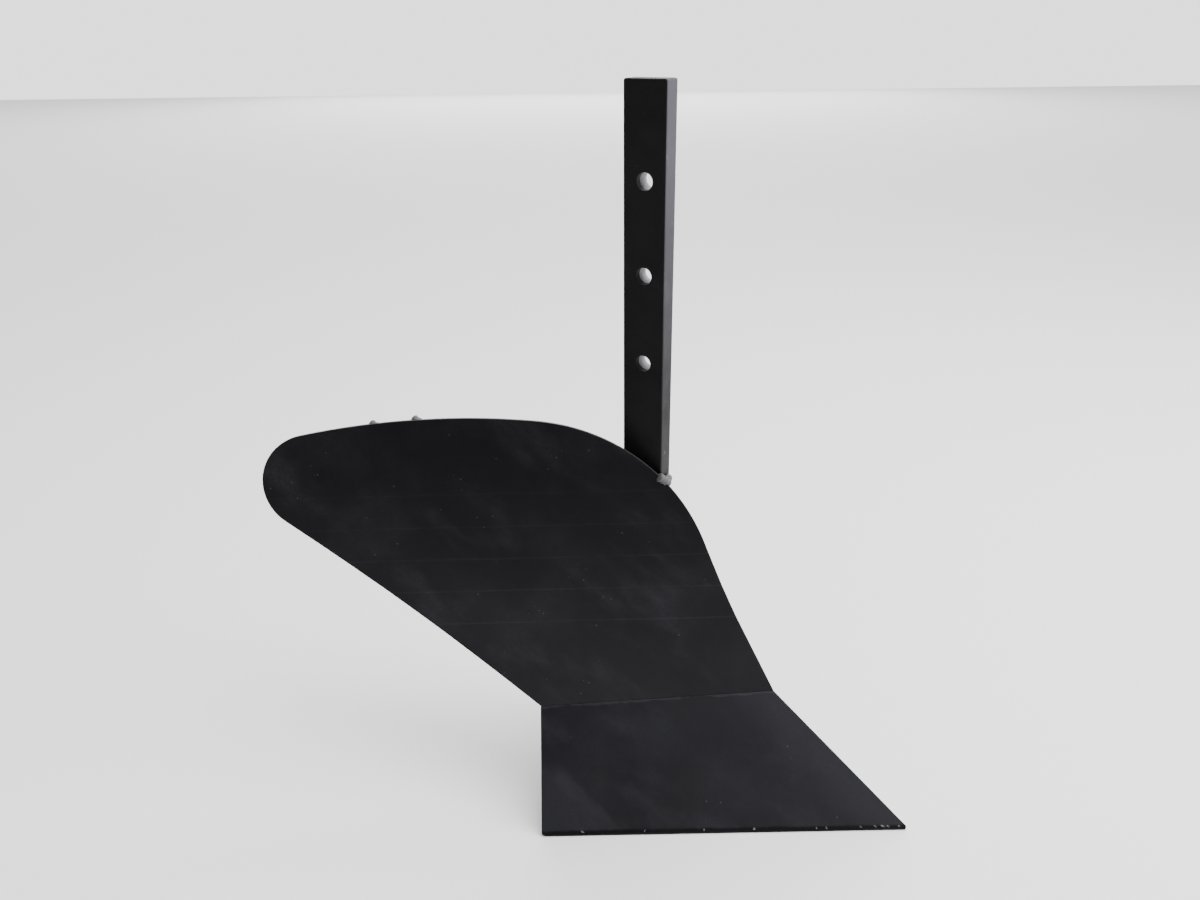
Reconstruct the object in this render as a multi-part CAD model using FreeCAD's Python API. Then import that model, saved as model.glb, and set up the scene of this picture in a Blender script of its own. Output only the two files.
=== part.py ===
# Right-hand plough attachment for a wheel hoe: a flat-bar shank with three bolt holes,
# a bump-bent moldboard, a share, a landside, the web and gussets behind them, a wing brace
# and the weld runs that hold them together.
#
# Axes: +X is the direction of travel, +Y the unploughed (left) side, +Z up.
# Heights are worked out above the ground, and the finished pieces are lowered so that the
# origin is the centre of the middle bolt hole.
import FreeCAD, Part
import math
import os

Vector = FreeCAD.Vector

# ---- Driving dimensions: millimetres and degrees ----

# Shank: rolled flat bar, its depth along X and its thickness along Y
overall_height = 425.5
shank_depth = 25.4
shank_thickness = 12.7
shank_corner_radius = 1.2
bolt_hole_diameter = 9.525
top_hole_drop = 50.8
bolt_hole_pitch = 50.8
bolt_hole_count = 3

# Landside: flat bar on edge under the shank, set back from the shank's right face
landside_setback = 6.35
landside_height = 50.8
landside_thickness = 6.35
landside_heel_reach = 45.0
heel_corner_radius = 8.0

# How far the plough body reaches ahead of the shank, short of the moldboard's thickness
body_reach = 170.14

# Share: flat plate with its cutting edge on the ground
share_thickness = 4.763
share_edge_length = 226.2
share_edge_angle = 30.0
share_slope = 56.8
share_tip_flat = 3.5
cutting_edge_height = 1.6
heel_corner_cut = 2.0

# Moldboard: plate bent in flat strips, each a little steeper than the one below
moldboard_thickness = 3.175
moldboard_angle = 30.8
crease_height = 71.2
strip_slopes = [73.2, 75.0, 76.3, 76.9, 77.5, 78.1]
first_strip_rise = 46.6
strip_rise = 19.7
strip_overrun = 60.0

# Moldboard outline: along the strips (s, towards the wing) and up the plate (v)
shoulder_start = 96.0
shoulder_radius = 121.2
crown_radius = 473.0
wing_end_s = 276.4
wing_end_v = 138.8
wing_end_radius = 29.2
lower_edge_radius = 2500.0

# Web and gussets
web_thickness = 6.35
web_top_height = 152.0
gusset_thickness = 4.763
share_gusset_height = 28.0
share_gusset_front = 96.0
share_gusset_rear = 6.0
moldboard_gusset_height = 90.0
moldboard_gusset_reach = 30.0

# Wing brace: flat bar from the shank's right face to the back of the moldboard
brace_width = 15.875
brace_thickness = 6.35
brace_foot_x = -1.5
brace_foot_height = 140.0
brace_top_s = 226.5
brace_top_v = 172.0
brace_top_clearance = 7.0

# Weld runs: bead radii, and how far a run stops short of a corner or laps past an edge
seam_bead_radius = 4.5
fillet_bead_radius = 5.0
light_bead_radius = 3.5
flat_bead_radius = 2.5
front_bead_radius = 4.0
brace_bead_radius = 4.0
bead_setback = 8.0
bead_inset = 1.0
front_bead_reach = 6.0
side_bead_length = 16.0
brace_bead_length = 32.0
brace_bead_rise = 1.2

# ---- Values that follow from them ----

X = Vector(1, 0, 0)
Y = Vector(0, 1, 0)
Z = Vector(0, 0, 1)

half_depth = shank_depth / 2
left_face = shank_thickness / 2
right_face = -shank_thickness / 2
landside_right = right_face + landside_setback
landside_left = landside_right + landside_thickness
web_left = landside_left
web_right = web_left - web_thickness
origin_height = overall_height - top_hole_drop - bolt_hole_pitch
FAR = 2 * (overall_height + share_edge_length)
SPARE = 20.0
PARALLEL = 0.99
SAME_PLACE = 1e-6


def heading(angle):
    """Horizontal direction from the tip towards the wing, at an angle to the travel."""
    turn = math.radians(angle)
    return Vector(-math.cos(turn), -math.sin(turn), 0)


def facing(angle):
    """Horizontal direction that a plate at this angle faces: forward and to the right."""
    turn = math.radians(angle)
    return Vector(math.sin(turn), -math.cos(turn), 0)


def up_slope(angle, slope):
    """Direction straight up the face of a plate that leans back at this slope."""
    lean = math.radians(slope)
    return facing(angle) * -math.cos(lean) + Z * math.sin(lean)


def plate_normal(angle, slope):
    lean = math.radians(slope)
    return facing(angle) * math.sin(lean) + Z * math.cos(lean)


def half_space(point, outward):
    """Everything behind the plane through point, as a large solid."""
    box = Part.makeBox(FAR, FAR, FAR, Vector(-FAR / 2, -FAR / 2, -FAR))
    turn = FreeCAD.Rotation(Z, outward)
    box.Placement = FreeCAD.Placement(point, turn, Vector(0, 0, 0))
    return box


def prism(points, direction):
    """A closed outline pushed along a direction."""
    return Part.Face(Part.makePolygon(points + points[:1])).extrude(direction)


def cut_by(shape, tools):
    for tool in tools:
        shape = shape.cut(tool)
    return shape


def line_crossing(a, a_direction, b, b_direction):
    """Where two lines in one plane cross, each given by a point and a direction (2-D)."""
    cross = a_direction[0] * b_direction[1] - a_direction[1] * b_direction[0]
    gap = (b[0] - a[0], b[1] - a[1])
    along = (gap[0] * b_direction[1] - gap[1] * b_direction[0]) / cross
    return (a[0] + along * a_direction[0], a[1] + along * a_direction[1])


def circle_crossing(centre_a, radius_a, centre_b, radius_b, side):
    """Where two circles cross, on the left (+1) or right (-1) of the line from a to b."""
    dx = centre_b[0] - centre_a[0]
    dy = centre_b[1] - centre_a[1]
    gap = math.hypot(dx, dy)
    along = (radius_a ** 2 - radius_b ** 2 + gap ** 2) / (2 * gap)
    off = side * math.sqrt(radius_a ** 2 - along ** 2)
    return (centre_a[0] + (along * dx - off * dy) / gap,
            centre_a[1] + (along * dy + off * dx) / gap)


def point_towards(centre, target, radius):
    """The point on a circle that faces another point, or its far side if radius < 0."""
    dx = target[0] - centre[0]
    dy = target[1] - centre[1]
    gap = math.hypot(dx, dy)
    return (centre[0] + radius * dx / gap, centre[1] + radius * dy / gap)


# The share's and the moldboard's front faces meet in the crease. The shin is the line of
# their front corners beside the landside, so far right of it that the moldboard's back
# corner just reaches the landside's right face.
share_along = heading(share_edge_angle)
share_up = up_slope(share_edge_angle, share_slope)
share_normal = plate_normal(share_edge_angle, share_slope)
shin_y = landside_right + moldboard_thickness * plate_normal(moldboard_angle, strip_slopes[0]).y


def shin_run(angle, slope):
    """How far a plate's face falls back along X for each millimetre of height."""
    return 1 / (math.tan(math.radians(slope)) * math.sin(math.radians(angle)))


# The moldboard's back rests on the shank's right front corner, however thick the plate is.
top_normal = plate_normal(moldboard_angle, strip_slopes[-1])
back_shift = top_normal.x + top_normal.z * shin_run(moldboard_angle, strip_slopes[-1])
tip = Vector(half_depth + body_reach + moldboard_thickness * back_shift, shin_y, 0)


crease_shin = tip + Vector(-crease_height * shin_run(share_edge_angle, share_slope), 0, crease_height)
crease_along = share_normal.cross(plate_normal(moldboard_angle, strip_slopes[0]))
if crease_along.dot(share_along) < 0:
    crease_along = crease_along * -1
crease_along.normalize()
# Measured along the cutting edge, the crease ends where the share's wing side does.
to_wing_side = share_edge_length - (crease_shin - tip).dot(share_along)
crease_wing = crease_shin + crease_along * (to_wing_side / crease_along.dot(share_along))
seam_normal = crease_along.cross(share_normal)
if seam_normal.z < 0:
    seam_normal = seam_normal * -1

# Front points of the shin, one at the crease and one at each bend above it
strip_tops = [crease_height + first_strip_rise + strip_rise * n for n in range(len(strip_slopes) - 1)]
strip_tops.append(strip_tops[-1] + strip_overrun)
shin = [crease_shin]
for slope, top in zip(strip_slopes, strip_tops):
    rise = top - shin[-1].z
    shin.append(shin[-1] + Vector(-rise * shin_run(moldboard_angle, slope), 0, rise))

mold_along = heading(moldboard_angle)
mold_back = facing(moldboard_angle) * -1
mean_slope = sum(strip_slopes) / len(strip_slopes)
mean_up = up_slope(moldboard_angle, mean_slope)
mean_normal = plate_normal(moldboard_angle, mean_slope)


def on_outline(s, v):
    """A point of the moldboard's outline plane, from its place along and up the plate."""
    return crease_shin + mold_along * s + mean_up * v


def outline_place(point):
    offset = point - crease_shin
    return (offset.dot(mold_along), offset.dot(mean_up))


def strip_section(front, back):
    """Section across the strips, between two distances behind the front face.

    Points run up one side and down the other, as (distance back, height)."""
    heights = [crease_height - strip_overrun] + strip_tops
    depth = [-(strip_overrun) / math.tan(math.radians(strip_slopes[0]))]
    for n, slope in enumerate(strip_slopes):
        depth.append(depth[-1] + (heights[n + 1] - heights[n]) / math.tan(math.radians(slope)))
    sides = []
    for distance in (front, back):
        side = []
        for n in range(len(heights)):
            below = math.radians(strip_slopes[max(n - 1, 0)])
            above = math.radians(strip_slopes[min(n, len(strip_slopes) - 1)])
            reach = distance / math.cos((above - below) / 2)
            middle = (above + below) / 2
            side.append((depth[n] + reach * math.sin(middle), heights[n] - reach * math.cos(middle)))
        sides.append(side)
    return sides[0] + sides[1][::-1]


def bent_plate(front, back):
    """The moldboard's bent plate before its outline is cut."""
    base = crease_shin - Z * crease_height - mold_along * FAR / 4
    points = [base + mold_back * d + Z * z for d, z in strip_section(front, back)]
    return prism(points, mold_along * FAR)


# Solids that say what is in front of a back face, for trimming what stands behind it
ahead_of_share = half_space(tip - share_normal * share_thickness, share_normal * -1)
ahead_of_moldboard = bent_plate(-overall_height / 2, moldboard_thickness)
below_seam = half_space(crease_shin, seam_normal)
above_ground = half_space(Vector(0, 0, 0), Z * -1)
right_of_landside = half_space(Vector(0, landside_right, 0), Y)
ahead_of_plates = ahead_of_share.common(below_seam).fuse(ahead_of_moldboard.cut(below_seam))


# ---- Pieces ----

def make_shank():
    """Flat bar with rolled corners, from the top down to the landside's top edge."""
    length = overall_height - landside_height
    bar = Part.makeBox(shank_depth, shank_thickness, length,
                       Vector(-half_depth, right_face, landside_height))
    corners = [edge for edge in bar.Edges if abs(edge.tangentAt(edge.FirstParameter).z) > PARALLEL]
    bar = bar.makeFillet(shank_corner_radius, corners)
    for n in range(bolt_hole_count):
        height = overall_height - top_hole_drop - n * bolt_hole_pitch
        hole = Part.makeCylinder(bolt_hole_diameter / 2, 2 * shank_thickness,
                                 Vector(0, -shank_thickness, height), Y)
        bar = bar.cut(hole)
    return bar


def make_share():
    """Flat plate cut to the shin, the ground and the crease, with a ground cutting edge."""
    def place(s, v):
        return tip + share_along * s + share_up * v
    rise = (crease_wing - tip).dot(share_up)
    shin_place = ((crease_shin - tip).dot(share_along), (crease_shin - tip).dot(share_up))
    low = -SPARE
    low_s = low * shin_place[0] / shin_place[1]
    points = [place(low_s, low), place(share_edge_length, low), place(share_edge_length, rise + SPARE),
              place(shin_place[0] + SPARE * shin_place[0] / shin_place[1], shin_place[1] + SPARE)]
    plate = prism(points, share_normal * -share_thickness)
    plate = plate.common(below_seam).common(above_ground).common(right_of_landside)
    edge_facing = facing(share_edge_angle)
    set_back = cutting_edge_height / math.tan(math.radians(share_slope))
    plate = plate.common(half_space(tip - edge_facing * set_back, edge_facing))
    plate = plate.common(half_space(tip - X * share_tip_flat, X))
    heel = tip + share_along * share_edge_length
    corner_cut = half_space(heel - share_along * heel_corner_cut, (share_along - Z).normalize())
    return plate.common(corner_cut)


def moldboard_outline():
    """Edges of the moldboard's outline, as a face in its mean plane."""
    shin_places = [outline_place(point) for point in shin]
    # The shin rises in short straight lines up to the shoulder.
    below = [place for place in shin_places if place[1] < shoulder_start]
    above = shin_places[len(below)]
    step = (above[0] - below[-1][0], above[1] - below[-1][1])
    share_of_step = (shoulder_start - below[-1][1]) / step[1]
    start = (below[-1][0] + share_of_step * step[0], shoulder_start)
    length = math.hypot(step[0], step[1])
    shoulder = (start[0] + shoulder_radius * step[1] / length, start[1] - shoulder_radius * step[0] / length)
    wing_end = (wing_end_s, wing_end_v)
    crown = circle_crossing(shoulder, crown_radius - shoulder_radius,
                            wing_end, crown_radius - wing_end_radius, -1)
    crown_start = point_towards(crown, shoulder, crown_radius)
    crown_end = point_towards(crown, wing_end, crown_radius)
    crown_top = (crown[0], crown[1] + crown_radius)
    foot = outline_place(crease_wing)
    lower = circle_crossing(foot, lower_edge_radius, wing_end, lower_edge_radius + wing_end_radius, -1)
    lower_start = point_towards(lower, wing_end, lower_edge_radius)
    middle = ((foot[0] + lower_start[0]) / 2, (foot[1] + lower_start[1]) / 2)
    lower_middle = point_towards(lower, middle, lower_edge_radius)
    wing_tip = (wing_end[0] + wing_end_radius, wing_end[1])
    shoulder_middle = point_towards(
        shoulder, ((start[0] + crown_start[0]) / 2, (start[1] + crown_start[1]) / 2), shoulder_radius)
    # The straight ends run on past the crease, where the seam cuts them.
    first = (below[1][0] - below[0][0], below[1][1] - below[0][1])
    shin_end = (below[0][0] - SPARE * first[0] / first[1], below[0][1] - SPARE)
    tangent = (foot[1] - lower[1], lower[0] - foot[0])
    foot_end = (foot[0] - SPARE * tangent[0] / tangent[1], foot[1] - SPARE)

    def line(a, b):
        return Part.LineSegment(on_outline(*a), on_outline(*b)).toShape()

    def arc(a, b, c):
        return Part.Arc(on_outline(*a), on_outline(*b), on_outline(*c)).toShape()

    corners = [shin_end] + below + [start]
    edges = [line(a, b) for a, b in zip(corners, corners[1:])]
    edges.append(arc(start, shoulder_middle, crown_start))
    edges.append(arc(crown_start, crown_top, crown_end))
    edges.append(arc(crown_end, wing_tip, lower_start))
    edges.append(arc(lower_start, lower_middle, foot))
    edges.append(line(foot, foot_end))
    edges.append(line(foot_end, shin_end))
    return Part.Face(Part.Wire(edges))


outline_face = moldboard_outline()


def outline_prism(reach):
    """The moldboard's outline pushed through the plate, to both sides."""
    face = outline_face.copy()
    face.translate(mean_normal * reach)
    return face.extrude(mean_normal * (-2 * reach))


def make_moldboard():
    plate = bent_plate(0, moldboard_thickness)
    plate = plate.common(outline_prism(overall_height / 4))
    return plate.cut(below_seam)


def offset_line(points, offsets):
    """Shift each run of a line back along X by its own offset, and rejoin the runs."""
    runs = []
    for a, b, offset in zip(points, points[1:], offsets):
        runs.append(((a.x - offset, a.z), (b.x - a.x, b.z - a.z)))
    joined = [runs[0][0]]
    for one, two in zip(runs, runs[1:]):
        joined.append(line_crossing(one[0], one[1], two[0], two[1]))
    last = runs[-1]
    joined.append((last[0][0] + last[1][0], last[0][1] + last[1][1]))
    return joined


def nose_offset(normal, run, y):
    """How far back along X a face square to a plate, from the shin's front, lies at y."""
    depth = (y - shin_y) / -normal.y
    return depth * (normal.x + run * normal.z)


def nose_line(y):
    """The line that the cut edges of share and moldboard follow at this y."""
    points = [tip] + shin
    offsets = [nose_offset(share_normal, shin_run(share_edge_angle, share_slope), y)]
    for slope in strip_slopes:
        normal = plate_normal(moldboard_angle, slope)
        offsets.append(nose_offset(normal, shin_run(moldboard_angle, slope), y))
    return offset_line(points, offsets)


def nose_between(y, low, high):
    """The nose line between two heights: its two ends, and the bends between them."""
    line = nose_line(y)
    heights = [point.z for point in [tip] + shin]
    points = []
    for (x1, z1), (x2, z2), foot, top in zip(line, line[1:], heights, heights[1:]):
        slant = (x2 - x1) / (z2 - z1)
        if low < foot < high:
            points.append((x1, z1))
        for height in (low, high):
            if foot <= height < top:
                points.append((x1 + slant * (height - z1), height))
    return points


def bar_between(right_points, left_points, right_y, left_y):
    """Flat-sided solid between an outline at one y and its twin at another."""
    right = [Vector(x, right_y, z) for x, z in right_points]
    left = [Vector(x, left_y, z) for x, z in left_points]
    rims = [right, left]
    for n in range(len(right)):
        rims.append([right[n - 1], right[n], left[n], left[n - 1]])
    faces = [Part.Face(Part.makePolygon(rim + rim[:1])) for rim in rims]
    return Part.makeSolid(Part.makeShell(faces))


def make_landside():
    """Flat bar on edge, its nose ground flush with the share's cut edge."""
    sides = []
    for y in (landside_right, landside_left):
        nose = nose_between(y, 0, landside_height)
        sides.append([(-landside_heel_reach, 0)] + nose + [(-landside_heel_reach, landside_height)])
    bar = bar_between(sides[0], sides[1], landside_right, landside_left)
    corner = [edge for edge in bar.Edges
              if abs(edge.tangentAt(edge.FirstParameter).y) > PARALLEL
              and abs(edge.CenterOfMass.x + landside_heel_reach) < SAME_PLACE]
    return bar.makeFillet(heel_corner_radius, corner)


def make_web():
    """Upright plate between the shank's front edge, the landside and the shin."""
    sides = []
    for y in (web_right, web_left):
        nose = nose_between(y, landside_height, web_top_height)
        sides.append([(half_depth, landside_height)] + nose + [(half_depth, web_top_height)])
    return bar_between(sides[0], sides[1], web_right, web_left)


def make_share_gusset():
    """Level plate that braces the share against the landside's right face."""
    low = share_gusset_height - gusset_thickness / 2
    slab = Part.makeBox(FAR, FAR, gusset_thickness, Vector(-FAR / 2, -FAR / 2, low))
    slab = slab.common(half_space(Vector(0, landside_right, 0), Y))
    slab = slab.cut(ahead_of_plates)
    front = half_space(Vector(share_gusset_front, 0, 0), X)
    slab = slab.common(front)
    rear_normal = (X * -1 + facing(share_edge_angle)).normalize()
    return slab.common(half_space(Vector(share_gusset_rear, landside_right, 0), rear_normal))


def make_moldboard_gusset():
    """Level plate that braces the moldboard against the shank's right face."""
    low = moldboard_gusset_height - gusset_thickness / 2
    slab = Part.makeBox(FAR, FAR, gusset_thickness, Vector(-FAR / 2, -FAR / 2, low))
    slab = slab.common(half_space(Vector(0, right_face, 0), Y))
    slab = slab.cut(ahead_of_plates)
    slab = slab.common(half_space(Vector(half_depth, 0, 0), X))
    rear_normal = (X * -1 + Y).normalize()
    return slab.common(half_space(Vector(-half_depth, right_face, 0), rear_normal)).common(
        half_space(Vector(-moldboard_gusset_reach, 0, 0), X * -1))


# The brace's axis ends on the landside's right face and on the moldboard's back.
brace_foot = Vector(brace_foot_x, right_face, brace_foot_height)


def back_point(s, v):
    """Where the outline plane's point (s, v) falls on the moldboard's back."""
    start = on_outline(s, v) + mean_normal * overall_height / 4
    ray = Part.LineSegment(start, start - mean_normal * overall_height / 2).toShape()
    hits = ray.common(bent_plate(0, moldboard_thickness)).Vertexes
    return max((vertex.Point for vertex in hits), key=lambda p: p.distanceToPoint(start))


brace_top = back_point(brace_top_s, brace_top_v)
brace_direction = (brace_top - brace_foot).normalize()
brace_across = mean_normal.cross(brace_direction).normalize()
brace_back = brace_across.cross(brace_direction).normalize()


def brace_corners(middle):
    """The brace's four long edges, where they pass a point of its middle line."""
    side = brace_across * (brace_width / 2)
    face = brace_back * (brace_thickness / 2)
    return [middle + side + face, middle - side + face, middle - side - face, middle + side - face]


def make_wing_brace():
    """Straight flat bar, mitred to the shank and to the moldboard's back."""
    length = (brace_top - brace_foot).Length
    bar = prism(brace_corners(brace_foot - brace_direction * length), brace_direction * (3 * length))
    bar = bar.cut(ahead_of_moldboard).common(half_space(brace_foot, Y))
    top_plane = on_outline(0, outline_place(brace_top)[1] - brace_top_clearance)
    return bar.common(half_space(top_plane, Z))


# ---- Weld runs ----

def bead(path, radius):
    """A run of weld metal: a round rope along the path, before the joint trims it."""
    rope = Part.makeSphere(radius, path[0])
    for start, end in zip(path, path[1:]):
        run = end - start
        rope = rope.fuse(Part.makeCylinder(radius, run.Length, start, run))
        rope = rope.fuse(Part.makeSphere(radius, end))
    return rope


def lay(paths, radius, limits, pieces):
    """Weld beads along paths, kept inside the limits and outside the pieces they join."""
    runs = []
    for path in paths:
        run = bead(path, radius)
        for limit in limits:
            run = run.common(limit)
        run = cut_by(run, pieces)
        runs.append(max(run.Solids, key=lambda solid: solid.Volume))
    return runs


def back_corner(corner, angle, slope, thickness, height, y):
    """The point of a plate's back face at a height and a distance to the left."""
    normal = plate_normal(angle, slope)
    rest = thickness + normal.y * (y - corner.y) + normal.z * (height - corner.z)
    return Vector(corner.x - rest / normal.x, y, height)


def share_back(height, y):
    return back_corner(tip, share_edge_angle, share_slope, share_thickness, height, y)


def moldboard_back(height, y):
    strip = 0
    while height > strip_tops[strip]:
        strip += 1
    return back_corner(shin[strip], moldboard_angle, strip_slopes[strip], moldboard_thickness, height, y)


def crease_path():
    """Along the back of the crease, from beside the web to short of the wing side."""
    sunk = share_normal * -share_thickness
    start = crease_shin + crease_along * (2 * bead_setback)
    end = crease_wing - crease_along * bead_setback
    return [start + sunk, end + sunk]


def moldboard_web_path():
    low = crease_height + bead_setback
    high = web_top_height - bead_setback
    heights = [low] + [top for top in strip_tops if low < top < high] + [high]
    return [moldboard_back(height, web_right) for height in heights]


def top_edge(plate, x):
    """The highest point of a plate where it crosses a plane square to X."""
    corners = [vertex.Point for wire in plate.slice(X, x) for vertex in wire.Vertexes]
    return max(corners, key=lambda point: point.z)


def front_bead_path(plate):
    """Across the shank's front edge, from the plate's top edge round its left end."""
    first = top_edge(plate, half_depth + bead_inset)
    second = top_edge(plate, half_depth + front_bead_reach)
    third = Vector(half_depth, left_face - front_bead_radius, second.z)
    return [first, second, third]


def side_bead_path(plate):
    """Down the shank's right front corner, below the plate's top edge."""
    top = top_edge(plate, half_depth).z - front_bead_radius
    x = half_depth - bead_inset
    return [Vector(x, right_face - bead_inset, top - side_bead_length), Vector(x, right_face, top)]


def level_corner_path(back, height, y_from, y_to):
    """Along the corner between a level gusset's top and the back of a plate."""
    return [back(height, y_from), back(height, y_to)]


def edge_height(s_place):
    """How high up the plate the outline's top edge stands at a place along it."""
    line = Part.LineSegment(on_outline(s_place, 0), on_outline(s_place, overall_height)).toShape()
    return max(outline_place(vertex.Point)[1] for vertex in line.common(outline_face).Vertexes)


def brace_bead_paths():
    """Both sides of the brace, up the moldboard's back and just over its top edge."""
    up_plate = brace_across.cross(mean_normal).normalize()
    paths = []
    for side in (1, -1):
        beside = brace_top + brace_across * (side * brace_width / 2)
        place = outline_place(beside)
        rise = edge_height(place[0]) - place[1] + brace_bead_rise - brace_bead_radius
        high = beside + up_plate * (rise / up_plate.dot(mean_up))
        paths.append([high - up_plate * brace_bead_length, high])
    return paths


def foot_ring_path():
    """Round the brace's foot, where its four long edges meet the shank's face."""
    rim = [corner + brace_direction * ((right_face - corner.y) / brace_direction.y)
           for corner in brace_corners(brace_foot)]
    return rim + rim[:1]


def make_welds(pieces):
    """Every weld run, as groups of solids that lie between the pieces."""
    right_of_shank = half_space(Vector(0, right_face, 0), Y)
    ahead_of_shank = half_space(Vector(half_depth, 0, 0), X * -1)
    behind_shank = half_space(Vector(-half_depth, 0, 0), X)
    ahead_of_rear = half_space(Vector(-half_depth, 0, 0), X * -1)
    under_shank = half_space(Vector(0, 0, landside_height), Z)
    right_of_left_face = half_space(Vector(0, left_face, 0), Y)
    share_top = share_gusset_height + gusset_thickness / 2
    mold_top = moldboard_gusset_height + gusset_thickness / 2
    gusset_far_y = pieces["share_gusset"].BoundBox.YMin + bead_setback
    mold_far_y = pieces["moldboard_gusset"].BoundBox.YMin + bead_setback
    foot_y = (landside_right + landside_left) / 2
    plates = [ahead_of_plates]
    solids = list(pieces.values())
    moldboard = pieces["moldboard"]
    left = landside_right
    front_run = lay([front_bead_path(moldboard)], front_bead_radius,
                    [ahead_of_shank, right_of_left_face], solids)
    web_end = nose_between(web_right, landside_height, web_top_height)[0][0]
    runs = {
        "weld_crease": lay([crease_path()], seam_bead_radius, [right_of_landside], plates + solids),
        "weld_share_landside": lay(
            [[share_back(bead_setback, left), share_back(share_gusset_height - bead_setback, left)],
             [share_back(share_gusset_height + bead_setback, left), share_back(landside_height, left)]],
            fillet_bead_radius, [right_of_landside], plates + solids),
        "weld_moldboard_web": lay([moldboard_web_path()], fillet_bead_radius, [right_of_landside],
                                  plates + solids),
        "weld_shank_front": front_run,
        "weld_shank_side": lay([side_bead_path(moldboard)], light_bead_radius, [],
                               plates + solids + front_run),
        "weld_shank_foot": lay(
            [[Vector(-half_depth, left, landside_height), Vector(half_depth, left, landside_height)]],
            light_bead_radius, [right_of_landside, under_shank], solids) + lay(
            [[Vector(-half_depth, foot_y - bead_inset, landside_height),
              Vector(-half_depth, foot_y + bead_inset, landside_height)]],
            flat_bead_radius, [behind_shank], solids),
        "weld_web_shank": lay(
            [[Vector(half_depth, web_right, landside_height + bead_setback),
              Vector(half_depth, web_right, web_top_height - bead_setback)]],
            light_bead_radius, [ahead_of_shank, right_of_landside], plates + solids),
        "weld_web_landside": lay(
            [[Vector(half_depth + bead_setback, left, landside_height),
              Vector(web_end - 3 * bead_setback, left, landside_height)]],
            flat_bead_radius, [right_of_landside], plates + solids),
        "weld_share_gusset": lay(
            [[Vector(share_gusset_rear + bead_setback, left, share_top),
              Vector(share_gusset_front - bead_setback, left, share_top)],
             level_corner_path(share_back, share_top, gusset_far_y + bead_setback, gusset_far_y)],
            light_bead_radius, [right_of_landside], plates + solids),
        "weld_moldboard_gusset": lay(
            [[Vector(-half_depth + bead_inset, right_face, mold_top),
              Vector(half_depth - bead_setback, right_face, mold_top)],
             level_corner_path(moldboard_back, mold_top, mold_far_y + 3 * bead_setback, mold_far_y)],
            light_bead_radius, [right_of_shank], plates + solids),
        "weld_wing_brace": lay(brace_bead_paths(), brace_bead_radius, [], plates + solids),
        "weld_brace_foot": lay([foot_ring_path()], flat_bead_radius, [right_of_shank, ahead_of_rear], solids),
    }
    return {name: Part.makeCompound(solids) for name, solids in runs.items()}


if __name__ == "__main__":
    os.makedirs("parts", exist_ok=True)
    pieces = {
        "shank": make_shank(),
        "share": make_share(),
        "moldboard": make_moldboard(),
        "landside": make_landside(),
        "web": make_web(),
        "share_gusset": make_share_gusset(),
        "moldboard_gusset": make_moldboard_gusset(),
        "wing_brace": make_wing_brace(),
    }
    welds = make_welds(pieces)
    for name, shape in list(pieces.items()) + list(welds.items()):
        shape.translate(Vector(0, 0, -origin_height))
        print(name, len(shape.Solids), shape.isValid(), round(shape.Volume), shape.BoundBox)
        shape.exportStep("parts/" + name + ".step")
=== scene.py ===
import math

import bpy
from mathutils import Matrix, Vector


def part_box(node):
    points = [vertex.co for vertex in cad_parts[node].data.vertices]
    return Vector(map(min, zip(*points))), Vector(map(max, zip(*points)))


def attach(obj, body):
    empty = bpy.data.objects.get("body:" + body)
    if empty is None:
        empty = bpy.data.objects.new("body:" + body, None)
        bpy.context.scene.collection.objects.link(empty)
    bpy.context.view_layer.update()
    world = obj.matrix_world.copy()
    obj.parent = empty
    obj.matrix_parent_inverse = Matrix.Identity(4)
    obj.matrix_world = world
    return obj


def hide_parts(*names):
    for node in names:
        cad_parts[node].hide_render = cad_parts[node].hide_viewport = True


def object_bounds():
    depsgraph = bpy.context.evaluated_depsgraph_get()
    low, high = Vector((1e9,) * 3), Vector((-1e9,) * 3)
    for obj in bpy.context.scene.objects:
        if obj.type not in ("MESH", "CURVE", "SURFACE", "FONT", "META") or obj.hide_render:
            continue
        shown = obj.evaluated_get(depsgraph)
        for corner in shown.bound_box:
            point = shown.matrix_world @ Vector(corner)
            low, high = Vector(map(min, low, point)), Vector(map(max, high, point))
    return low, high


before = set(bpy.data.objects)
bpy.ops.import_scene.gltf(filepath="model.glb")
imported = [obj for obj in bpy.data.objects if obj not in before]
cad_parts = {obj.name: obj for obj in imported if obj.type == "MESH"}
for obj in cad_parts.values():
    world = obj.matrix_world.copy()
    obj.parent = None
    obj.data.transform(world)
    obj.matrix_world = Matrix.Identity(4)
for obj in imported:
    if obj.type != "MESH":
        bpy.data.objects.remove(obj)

cad_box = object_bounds()

MM = 0.001
X = Vector((1, 0, 0))
Y = Vector((0, 1, 0))
Z = Vector((0, 0, 1))


def node_low(node):
    return Vector(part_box(node)[0])


def node_high(node):
    return Vector(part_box(node)[1])


# ---- Measures: metres and degrees ----

ground = cad_box[0][2]
shank_low = node_low("shank")
shank_high = node_high("shank")
landside_low = node_low("landside")
landside_top = node_high("landside").z
half_depth = shank_high.x
right_face = shank_low.y
left_face = shank_high.y

shank_corner = 1.2 * MM
bolt_hole_radius = 4.7625 * MM
bolt_hole_pitch = 50.8 * MM
landside_right = landside_low.y

share_thickness = 4.763 * MM
share_angle = 30.0
share_slope = 56.8
share_length = 226.2 * MM
share_blank_height = 0.12
share_tip_flat = 3.5 * MM
cutting_edge_height = 1.6 * MM
crease_height = 71.2 * MM

moldboard_thickness = 3.175 * MM
moldboard_angle = 30.8
strip_slopes = [73.2, 75.0, 76.3, 76.9, 77.5, 78.1]
first_strip_rise = 46.6 * MM
strip_rise = 19.7 * MM
strip_overrun = 60 * MM

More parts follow.
